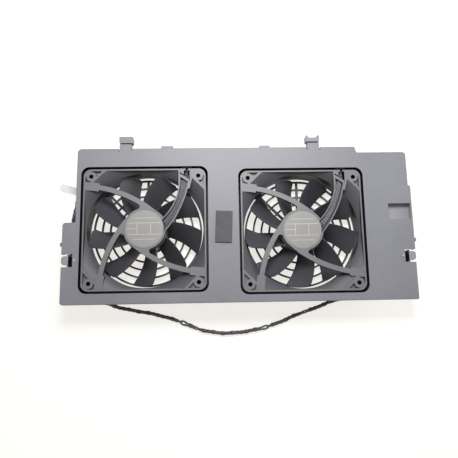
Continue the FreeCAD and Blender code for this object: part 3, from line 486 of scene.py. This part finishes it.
# %% Colour and node helpers
def linear(hex_colour):
    """Linear RGBA of an sRGB hex colour."""
    channels = []
    for i in (1, 3, 5):
        value = int(hex_colour[i:i + 2], 16) / 255
        channels.append(value / 12.92 if value <= 0.04045 else ((value + 0.055) / 1.055) ** 2.4)
    return (*channels, 1.0)


def add(tree, kind, inputs, **settings):
    """A node of this kind, with its settings, its input values and its links."""
    node = tree.nodes.new(kind)
    for name, value in settings.items():
        setattr(node, name, value)
    for name, value in inputs.items():
        if isinstance(value, bpy.types.NodeSocket):
            tree.links.new(value, node.inputs[name])
        else:
            node.inputs[name].default_value = value
    return node


def finish_of(name, metallic=0.0, ior=1.5):
    """A new material with its node tree, its main shader and its object coordinates."""
    material = bpy.data.materials.new(name)
    material.use_nodes = True
    tree = material.node_tree
    shader = tree.nodes["Principled BSDF"]
    shader.inputs["Metallic"].default_value = metallic
    if not metallic:
        shader.inputs["IOR"].default_value = ior
    place = add(tree, "ShaderNodeTexCoord", {}).outputs["Object"]
    return material, tree, shader, place


def per_metre(size_mm):
    """Texture scale that makes a pattern's features about this many millimetres wide."""
    return 1000.0 / size_mm


def dress(material, *pieces):
    """Give each piece this one material."""
    for piece in pieces:
        piece.data.materials.clear()
        piece.data.materials.append(material)


print("white is", linear("#ffffff")[:3], "mid grey is", round(linear("#808080")[0], 3))

# %% [markdown]
# Moulded plastics. The holder is a grey PC and ABS blend from a spark-eroded tool: the tool's
# fine pits print a matt grain on it that spreads highlights. The fan housings are glass-filled
# PBT, darker, with a stronger sheen and a slight streak along the flow of the melt. The wheels
# are the same plastic in a satin near-black, and the guards dark grey ABS. One recipe makes all
# four from a few numbers: a slow drift between two close shades, a fine grain in the bump, and a
# roughness that follows the shade. The real grain is about a tenth of a millimetre wide; it is
# drawn coarser so that it shows at all.

# %% Moulded plastics
PLASTIC_IOR = 1.53
DRIFT_MM, DRIFT_SHARE = 45, 0.7
SPECK_MM, SPECK_SHARE = 2.2, 0.3
SHADE_FROM, LIGHTER_FROM = 0.35, 0.65
SMOOTH_AT, SMOOTHER = 0.3, 0.04
ROUGH_AT, ROUGHER = 0.7, 0.05
GRAIN_STRENGTH = 0.35
STRONG_SHEEN = 1.0
EVEN = (1.0, 1.0, 1.0)
MELT_STREAK = (1.0, 0.35, 1.0)


def moulded_plastic(name, shade, lighter, rough, grain_mm, grain_depth_mm, gloss=0.5, streak=EVEN):
    """A plastic that drifts between two shades, with a grain of this width and depth."""
    material, tree, shader, place = finish_of(name, ior=PLASTIC_IOR)
    shader.inputs["Specular IOR Level"].default_value = gloss
    along = add(tree, "ShaderNodeMapping", {"Vector": place, "Scale": streak}).outputs["Vector"]
    drift = add(tree, "ShaderNodeTexNoise", {
        "Vector": along, "Scale": per_metre(DRIFT_MM), "Detail": 3.0})
    speck = add(tree, "ShaderNodeTexNoise", {
        "Vector": along, "Scale": per_metre(SPECK_MM), "Detail": 4.0})
    blend = add(tree, "ShaderNodeMath", {
        0: drift.outputs["Fac"], 1: DRIFT_SHARE}, operation="MULTIPLY")
    blend = add(tree, "ShaderNodeMath", {
        0: speck.outputs["Fac"], 1: SPECK_SHARE, 2: blend.outputs[0]}, operation="MULTIPLY_ADD")
    colour = add(tree, "ShaderNodeValToRGB", {"Fac": blend.outputs[0]})
    colour.color_ramp.elements[0].position = SHADE_FROM
    colour.color_ramp.elements[0].color = linear(shade)
    colour.color_ramp.elements[1].position = LIGHTER_FROM
    colour.color_ramp.elements[1].color = linear(lighter)
    tree.links.new(colour.outputs["Color"], shader.inputs["Base Color"])
    roughness = add(tree, "ShaderNodeMapRange", {
        "Value": blend.outputs[0], "From Min": SMOOTH_AT, "From Max": ROUGH_AT,
        "To Min": rough - SMOOTHER, "To Max": rough + ROUGHER})
    tree.links.new(roughness.outputs["Result"], shader.inputs["Roughness"])
    grain = add(tree, "ShaderNodeTexNoise", {
        "Vector": place, "Scale": per_metre(grain_mm), "Detail": 2.0})
    bump = add(tree, "ShaderNodeBump", {
        "Height": grain.outputs["Fac"], "Strength": GRAIN_STRENGTH, "Distance": grain_depth_mm * MM})
    tree.links.new(bump.outputs["Normal"], shader.inputs["Normal"])
    return material


holder_abs = moulded_plastic("holder_abs_spark_grain", "#818188", "#898990", 0.46, 0.9, 0.05)
housing_pbt = moulded_plastic(
    "housing_pbt_glass_filled", "#56565b", "#5e5e63", 0.52, 0.7, 0.04, STRONG_SHEEN, MELT_STREAK)
wheel_pbt = moulded_plastic(
    "wheel_pbt_satin_black", "#303137", "#393a41", 0.5, 0.8, 0.03, STRONG_SHEEN)
guard_abs = moulded_plastic("guard_abs_dark", "#3f4043", "#46474a", 0.45, 0.8, 0.04)
dress(holder_abs, moulded["bracket"])
for side in SIDES:
    dress(holder_abs, moulded[f"hook_{side}"], moulded[f"latch_{side}"])
    dress(housing_pbt, moulded[f"frame_{side}"])
    dress(wheel_pbt, moulded[f"impeller_{side}"])
    dress(guard_abs, moulded[f"guard_{side}"])
print("moulded plastics on", len(moulded), "pieces")

# %% [markdown]
# The spark grain is only on the faces that are meant to be seen. Deep walls have to slide off the
# tool, so they are polished, with a smoother, finer grain; their near-black colour is painted shade,
# between the fans and the wells, in the slots and on the backs of the latches and in the channels and
# pockets of the housings. The flared mouth of each housing guides air and is smooth too; its darker
# colour is painted shade as well. Such faces could be picked by hand; here small tests pick them by
# their place and by the way they face, so the choice holds if a solid is packed again.

# %% Tests that pick faces
WALL_TILT = 0.5
LEVEL_TILT = 0.9995
RIM_DEPTH = 0.4 * MM
MOUTH_R = 62 * MM
WELL_GAP = 2.6 * MM
NOTCH_BOX = (Vector((0.158, -0.0480, 0.0)), Vector((0.1642, -0.0340, 0.0300)))
fan_boxes = [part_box(f"fan_frame_{side}") for side in SIDES]
fan_rim = fan_boxes[0][1].z


def is_wall(face):
    """Whether the face is steep."""
    return abs(face.normal.z) < WALL_TILT


def is_channel(face):
    """Whether the face of a housing is a level floor below its rim and inside its mouth."""
    away = min((face.center - (low + high) / 2).xy.length for low, high in fan_boxes)
    below = face.center.z < fan_rim - RIM_DEPTH
    return face.normal.z >= LEVEL_TILT and below and away < MOUTH_R


def is_mouth(face):
    """Whether the face of a housing slopes and lies below its rim."""
    return WALL_TILT <= face.normal.z < LEVEL_TILT and face.center.z < fan_rim - RIM_DEPTH


def is_round_a_fan(face):
    """Whether the face is a wall that looks at one of the fans across the gap round it."""
    for low, high in fan_boxes:
        away = face.center - (low + high) / 2
        reach = (high - low) / 2
        if abs(away.x) < reach.x + WELL_GAP and abs(away.y) < reach.y + WELL_GAP:
            return is_wall(face) and face.normal.dot(away) < 0
    return False


def is_in_a_notch(face):
    """Whether the face is the back or the floor of the slot behind one of the latches."""
    low, high = NOTCH_BOX
    place = Vector((abs(face.center.x), face.center.y, face.center.z))
    inside = all(low[i] < place[i] < high[i] for i in range(3))
    return inside and (face.normal.x * face.center.x > 0 or face.normal.z > WALL_TILT)


def is_arm_back(face):
    """Whether the face of a latch looks towards the middle of the holder."""
    return face.normal.x * face.center.x < 0 and is_wall(face)


wall_count = sum(is_wall(face) for face in moulded["bracket"].data.polygons)
print("steep faces of the bracket:", wall_count, "of", len(moulded["bracket"].data.polygons))

# %% [markdown]
# The pocket takes a paler colour, which is painted light that lifts the shade in it; the finger tabs
# take a paler colour that is a painted sheen, and the small raised press arrows a still paler painted
# glint. Each of these finishes is one more material on the same piece, and only the faces that a
# test picks take it.

# %% Painted shade on deep walls, painted light on tabs, pocket and arrows
PLATE_TOP = 32 * MM
ARROW_RISE = 0.1 * MM
POCKET_WALL = 1 * MM
openings = {space["name"]: space["box_m"] for space in frame["record"]["physics"]["openings"]}


def is_on_an_arrow(face):
    """Whether the face stands proud of the plate."""
    return face.center.z > PLATE_TOP + ARROW_RISE


def is_on_a_tab(face):
    """Whether the face of a latch is level with the plate."""
    return face.center.z > PLATE_TOP - RIM_DEPTH


def is_in_the_pocket(face):
    """Whether the face is a wall or the floor of the recess in the wide end."""
    low, high = openings["plate_pocket"]
    inside = all(low[i] - POCKET_WALL < face.center[i] < high[i] + POCKET_WALL for i in range(3))
    return inside and face.center.z < PLATE_TOP - RIM_DEPTH


def dress_where(finish, piece, *tests):
    """Give one more finish to the faces of a piece that a test picks, and count them."""
    piece.data.materials.append(finish)
    faces = [face for face in piece.data.polygons if any(test(face) for test in tests)]
    for face in faces:
        face.material_index = len(piece.data.materials) - 1
    return len(faces)


# Near-black painted shade on the deep walls, the notch slots and the backs of the latch arms.
holder_painted_shade = moulded_plastic("holder_abs_painted_shade_wall", "#232326", "#2a2a2d", 0.4, 0.9, 0.02)
# Paler painted light that lifts the shade in the pocket, and a painted sheen on the finger tabs.
holder_painted_light = moulded_plastic("holder_abs_painted_light", "#94949a", "#9c9ca1", 0.4, 0.9, 0.02)
# Palest painted glint on the raised press arrows.
holder_painted_glint = moulded_plastic("holder_abs_arrow_painted_glint", "#b0b0b5", "#b9b9bd", 0.35, 0.9, 0.02)
# Near-black painted shade on the steep walls and channel floors of the housings.
housing_painted_shade = moulded_plastic("housing_pbt_painted_shade_wall", "#1a1a1d", "#212124", 0.45, 0.7, 0.02)
# Darker painted shade on the sloping mouths of the housings.
housing_mouth_painted_shade = moulded_plastic("housing_pbt_mouth_painted_shade", "#3a3a3f", "#424247", 0.5, 0.7, 0.02)
counts = {
    "wells": dress_where(holder_painted_shade, moulded["bracket"], is_round_a_fan, is_in_a_notch),
    "pocket": dress_where(holder_painted_light, moulded["bracket"], is_in_the_pocket),
    "arrows": dress_where(holder_painted_glint, moulded["bracket"], is_on_an_arrow),
}
for side in SIDES:
    arm = moulded[f"latch_{side}"]
    housing = moulded[f"frame_{side}"]
    counts[f"arm {side}"] = dress_where(holder_painted_shade, arm, is_arm_back)
    counts[f"tab {side}"] = dress_where(holder_painted_light, arm, is_on_a_tab)
    counts[f"walls {side}"] = dress_where(housing_painted_shade, housing, is_wall, is_channel)
    counts[f"mouth {side}"] = dress_where(housing_mouth_painted_shade, housing, is_mouth)
print("faces of each finish:", counts)

# %% [markdown]
# Soft finishes: foam, rubber, wire jackets and the nylon connector. Closed-cell foam is cut
# through its cells, so its face is a field of tiny craters and has hardly any sheen. Rubber is
# dull and slightly bloomed. PVC jackets are smooth with a soft sheen and a faint mottle.

# %% Foam, rubber and wire jackets
CELL_MM = 0.7
CELL_DEPTH = 0.15 * MM
FOAM_DRIFT_MM = 6
MOTTLE_DEPTH = 0.05 * MM
MOTTLE_ROUGH = 0.08


def cut_foam():
    """Dark grey foam with open cells on its cut face."""
    material, tree, shader, place = finish_of("pad_foam_closed_cell")
    cells = add(tree, "ShaderNodeTexVoronoi", {"Vector": place, "Scale": per_metre(CELL_MM)})
    drift = add(tree, "ShaderNodeTexNoise", {
        "Vector": place, "Scale": per_metre(FOAM_DRIFT_MM), "Detail": 4.0})
    colour = add(tree, "ShaderNodeMix", {
        "Factor": drift.outputs["Fac"], "A": linear("#5c5c5e"), "B": linear("#6e6e70"),
    }, data_type="RGBA")
    tree.links.new(colour.outputs["Result"], shader.inputs["Base Color"])
    shader.inputs["Roughness"].default_value = 0.92
    shader.inputs["Specular IOR Level"].default_value = 0.25
    bump = add(tree, "ShaderNodeBump", {
        "Height": cells.outputs["Distance"], "Strength": 0.8, "Distance": CELL_DEPTH})
    tree.links.new(bump.outputs["Normal"], shader.inputs["Normal"])
    return material


def soft_black(name, shade, lighter, rough, mottle_mm):
    """A dark soft plastic or rubber with a mottle of this width."""
    material, tree, shader, place = finish_of(name, ior=1.52)
    mottle = add(tree, "ShaderNodeTexNoise", {
        "Vector": place, "Scale": per_metre(mottle_mm), "Detail": 5.0})
    colour = add(tree, "ShaderNodeMix", {
        "Factor": mottle.outputs["Fac"], "A": linear(shade), "B": linear(lighter),
    }, data_type="RGBA")
    tree.links.new(colour.outputs["Result"], shader.inputs["Base Color"])
    roughness = add(tree, "ShaderNodeMapRange", {
        "Value": mottle.outputs["Fac"], "To Min": rough - MOTTLE_ROUGH, "To Max": rough + MOTTLE_ROUGH})
    tree.links.new(roughness.outputs["Result"], shader.inputs["Roughness"])
    bump = add(tree, "ShaderNodeBump", {
        "Height": mottle.outputs["Fac"], "Strength": 0.3, "Distance": MOTTLE_DEPTH})
    tree.links.new(bump.outputs["Normal"], shader.inputs["Normal"])
    return material


def nodes_named(*stems):
    """The CAD objects of these stems, on both fans."""
    return [frame["nodes"][f"{stem}_{side}"] for stem in stems for side in SIDES]


jacket_pvc = soft_black("lead_jacket_pvc", "#4e4f53", "#606165", 0.36, 1.5)
# The wires in the struts are the same black PVC as the lead; their paler colour is a painted sheen.
strut_pvc_painted_sheen = soft_black("strut_wire_pvc_painted_sheen", "#7c7d82", "#848589", 0.3, 1.5)
rubber = soft_black("grommet_rubber", "#38383b", "#434346", 0.75, 3.0)
nylon = soft_black("connector_nylon", "#222326", "#2b2c2f", 0.42, 4.0)
chip = soft_black("chip_moulding", "#1a1a1c", "#222224", 0.6, 1.0)
dress(cut_foam(), pad)
dress(jacket_pvc, lead)
dress(strut_pvc_painted_sheen, *strut_leads)
dress(rubber, *nodes_named("lead_grommet", "isolator_pins"))
dress(nylon, frame["nodes"]["lead_connector"])
dress(chip, *nodes_named("board_components"))
print("soft finishes:", len(bpy.data.materials), "materials so far")

# %% [markdown]
# Labels. The round label on each motor is metallised film with a satin top coat: grey silver with a
# fine roller texture, divided by plain ruled lines. The lines are found by comparing the object
# coordinates with their place, in millimetres from the label's centre: the axis they are measured
# on, their place on it, and where they start and end. The folded sticker is white film.

# %% Label films
RULE_W = 0.18
LABEL_RULES = (
    ("Y", 10.4, -11.0, 11.0), ("Y", 5.6, -15.6, 15.6), ("Y", -5.6, -15.6, 15.6),
    ("Y", -10.4, -11.0, 11.0), ("Y", 0.0, -17.0, -7.0), ("X", -7.0, -5.6, 5.6), ("X", 6.0, -5.6, 5.6),
)
ROLLER_MM = 0.9
ROLLER_STRETCH = (1.0, 0.08, 1.0)


def ruled_lines(tree, place, centre):
    """One on the ruled lines of a label and none elsewhere."""
    own = add(tree, "ShaderNodeMapping", {
        "Vector": place, "Location": -centre / MM, "Scale": (1 / MM, 1 / MM, 1 / MM)})
    axes = add(tree, "ShaderNodeSeparateXYZ", {"Vector": own.outputs["Vector"]})
    lines = None
    for axis, at, start, end in LABEL_RULES:
        along = "X" if axis == "Y" else "Y"
        near = add(tree, "ShaderNodeMath", {
            0: axes.outputs[axis], 1: at, 2: RULE_W}, operation="COMPARE")
        within = add(tree, "ShaderNodeMath", {
            0: axes.outputs[along], 1: (start + end) / 2, 2: (end - start) / 2}, operation="COMPARE")
        rule = add(tree, "ShaderNodeMath", {
            0: near.outputs[0], 1: within.outputs[0]}, operation="MULTIPLY")
        if lines:
            rule = add(tree, "ShaderNodeMath", {
                0: lines.outputs[0], 1: rule.outputs[0]}, operation="MAXIMUM")
        lines = rule
    return lines.outputs[0]


def label_film(side):
    """Silver film of one motor's label."""
    low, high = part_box(f"motor_label_{side}")
    material, tree, shader, place = finish_of(f"motor_label_film_{side}", metallic=0.35)
    lines = ruled_lines(tree, place, (low + high) / 2)
    stretched = add(tree, "ShaderNodeMapping", {"Vector": place, "Scale": ROLLER_STRETCH})
    roll = add(tree, "ShaderNodeTexNoise", {
        "Vector": stretched.outputs["Vector"], "Scale": per_metre(ROLLER_MM), "Detail": 3.0})
    film = add(tree, "ShaderNodeMix", {
        "Factor": roll.outputs["Fac"], "A": linear("#83827f"), "B": linear("#8f8e8b"),
    }, data_type="RGBA")
    colour = add(tree, "ShaderNodeMix", {
        "Factor": lines, "A": film.outputs["Result"], "B": linear("#bcbcb9"),
    }, data_type="RGBA")
    tree.links.new(colour.outputs["Result"], shader.inputs["Base Color"])
    roughness = add(tree, "ShaderNodeMapRange", {
        "Value": roll.outputs["Fac"], "To Min": 0.42, "To Max": 0.56})
    tree.links.new(roughness.outputs["Result"], shader.inputs["Roughness"])
    return material


def sticker_film():
    """White film of the folded sticker."""
    material, tree, shader, place = finish_of("sticker_white_film")
    drift = add(tree, "ShaderNodeTexNoise", {"Vector": place, "Scale": per_metre(5), "Detail": 3.0})
    colour = add(tree, "ShaderNodeMix", {
        "Factor": drift.outputs["Fac"], "A": linear("#f7f6f3"), "B": linear("#fdfcfa"),
    }, data_type="RGBA")
    tree.links.new(colour.outputs["Result"], shader.inputs["Base Color"])
    shader.inputs["Roughness"].default_value = 0.5
    return material


for side in SIDES:
    dress(label_film(side), frame["nodes"][f"motor_label_{side}"])
dress(sticker_film(), flag)
print("labels:", len(LABEL_RULES), "plain rules on each")

# %% [markdown]
# Inside the motors sit steel, magnet, copper and board. They hardly show, but a reader who opens
# the motor should still find ground shafts, stacked laminations, wound copper and a solder mask.
# The laminations are half a millimetre thick, and the windings a quarter. Blender's wave texture
# runs through 20 radians per unit, and here each radian is as wide as one such layer, so that the
# bands are six times as coarse as the real ones and show at all.

# %% Motor insides
WAVE_RADIANS = 20
BAND_DEPTH = 0.08 * MM


def banded(name, dark, light, band_mm, metallic, rough):
    """A finish of level bands between two shades."""
    material, tree, shader, place = finish_of(name, metallic=metallic)
    bands = add(tree, "ShaderNodeTexWave", {
        "Vector": place, "Scale": per_metre(band_mm) / WAVE_RADIANS, "Distortion": 0.4,
    }, bands_direction="Z")
    colour = add(tree, "ShaderNodeMix", {
        "Factor": bands.outputs["Fac"], "A": linear(dark), "B": linear(light),
    }, data_type="RGBA")
    tree.links.new(colour.outputs["Result"], shader.inputs["Base Color"])
    shader.inputs["Roughness"].default_value = rough
    bump = add(tree, "ShaderNodeBump", {
        "Height": bands.outputs["Fac"], "Strength": 0.5, "Distance": BAND_DEPTH})
    tree.links.new(bump.outputs["Normal"], shader.inputs["Normal"])
    return material


ground_steel = banded("shaft_ground_steel", "#b4b5b8", "#c6c7c9", 0.2, 1.0, 0.25)
plated_steel = banded("yoke_plated_steel", "#8d8e91", "#9b9c9f", 1.5, 1.0, 0.35)
ferrite = banded("magnet_bonded_ferrite", "#333336", "#3c3c3f", 2.0, 0.0, 0.7)
laminations = banded("core_stacked_laminations", "#6f7175", "#97999d", 0.5, 1.0, 0.4)
copper = banded("coil_enamelled_copper", "#7a3a1c", "#b8642f", 0.25, 0.6, 0.35)
solder_mask = banded("board_solder_mask", "#12452a", "#175433", 3.0, 0.0, 0.4)
dress(ground_steel, *nodes_named(
    "rotor_shaft", "thrust_washer", "retaining_clip", "rear_bearing", "front_bearing"))
dress(plated_steel, *nodes_named("rotor_yoke"))
dress(ferrite, *nodes_named("rotor_magnet"))
dress(laminations, *nodes_named("stator_core"))
dress(copper, *nodes_named("stator_coils"))
dress(solder_mask, *nodes_named("circuit_board"))
print("motor insides:", len(bpy.data.materials), "materials in all")

# %% [markdown]
# The floor is a plain pale sheet. To the camera it also glows a little, which lifts it to white as
# the over-exposed sheet is in the photo, while the holder still shades it. The glow grows with the
# distance from the holder, so that the far floor is as white as the world and no horizon shows in
# a low view. Mirror and glass rays see what the camera sees, and light rays see the bare sheet.

# %% Floor
FLOOR_REACH = 3.0
FLOOR_GLOW = 0.78
GLOW_NEAR = 0.4
GLOW_FAR = 1.2
bpy.ops.object.select_all(action="DESELECT")
bpy.ops.mesh.primitive_plane_add(size=2 * FLOOR_REACH)
floor = bpy.context.active_object
floor.name = "floor"


def camera_side(tree):
    """One for rays from the camera, and for mirror and glass rays, and none for light."""
    rays = add(tree, "ShaderNodeLightPath", {})
    seen = add(tree, "ShaderNodeMath", {
        0: rays.outputs["Is Camera Ray"], 1: rays.outputs["Is Glossy Ray"]}, operation="ADD")
    seen = add(tree, "ShaderNodeMath", {
        0: seen.outputs[0], 1: rays.outputs["Is Transmission Ray"],
    }, operation="ADD", use_clamp=True)
    return seen.outputs[0]


def pale_sheet():
    """Pale paper that is white to the camera."""
    material, tree, shader, place = finish_of("floor_pale_sheet")
    seen = camera_side(tree)
    colour = add(tree, "ShaderNodeMix", {
        "Factor": seen, "A": linear("#f3f1ec"), "B": linear("#b4b4b2")}, data_type="RGBA")
    tree.links.new(colour.outputs["Result"], shader.inputs["Base Color"])
    away = add(tree, "ShaderNodeVectorMath", {0: place}, operation="LENGTH")
    whiter = add(tree, "ShaderNodeMapRange", {
        "Value": away.outputs["Value"], "From Min": GLOW_NEAR, "From Max": GLOW_FAR,
        "To Min": FLOOR_GLOW})
    glow = add(tree, "ShaderNodeMath", {0: seen, 1: whiter.outputs["Result"]}, operation="MULTIPLY")
    tree.links.new(glow.outputs[0], shader.inputs["Emission Strength"])
    shader.inputs["Emission Color"].default_value = linear("#fffcf6")
    shader.inputs["Roughness"].default_value = 0.9
    shader.inputs["Specular IOR Level"].default_value = 0.0
    return material


dress(pale_sheet(), floor)
print("floor:", 2 * FLOOR_REACH, "m wide")

# %% [markdown]
# Light. The photo was taken in a white light tent: a bright panel above, a little behind the
# middle, a softer light low on the right, and white walls all round. So a soft panel and a round
# lamp hang there, and the world fills in. The lamp on the right is round because a panel lights
# only what is in front of it, and this one stands low over a floor that goes on behind it.

# %% Light and world
PANEL_PLACE = (0.0, 0.24, 0.46)
PANEL_SIZE = (0.26, 0.2)
PANEL_WATTS = 2.5
SIDE_PLACE = (0.55, 0.18, 0.17)
SIDE_RADIUS = 0.16
SIDE_WATTS = 4.2
TENT_FILL = 0.2


def hang_lamp(name, kind, place, watts):
    """A lamp that looks at the middle of the holder and isn't seen itself."""
    lamp_data = bpy.data.lights.new(name, kind)
    lamp_data.energy = watts
    lamp = bpy.data.objects.new(name, lamp_data)
    lamp.location = place
    lamp.rotation_euler = (-Vector(place)).to_track_quat("-Z", "Y").to_euler()
    lamp.visible_camera = False
    scene.collection.objects.link(lamp)
    return lamp_data


panel = hang_lamp("tent_panel", "AREA", PANEL_PLACE, PANEL_WATTS)
panel.shape = "RECTANGLE"
panel.size, panel.size_y = PANEL_SIZE
globe = hang_lamp("tent_side", "POINT", SIDE_PLACE, SIDE_WATTS)
globe.shadow_soft_size = SIDE_RADIUS
world = bpy.data.worlds.new("light_tent")
scene.world = world
world.use_nodes = True
sky = world.node_tree.nodes["Background"]
sky.inputs["Color"].default_value = linear("#ffffff")
fill = add(world.node_tree, "ShaderNodeMapRange", {
    "Value": camera_side(world.node_tree), "To Min": TENT_FILL})
world.node_tree.links.new(fill.outputs["Result"], sky.inputs["Strength"])
scene.view_settings.view_transform = "Standard"
print("light tent:", len(bpy.data.lights), "lamps")
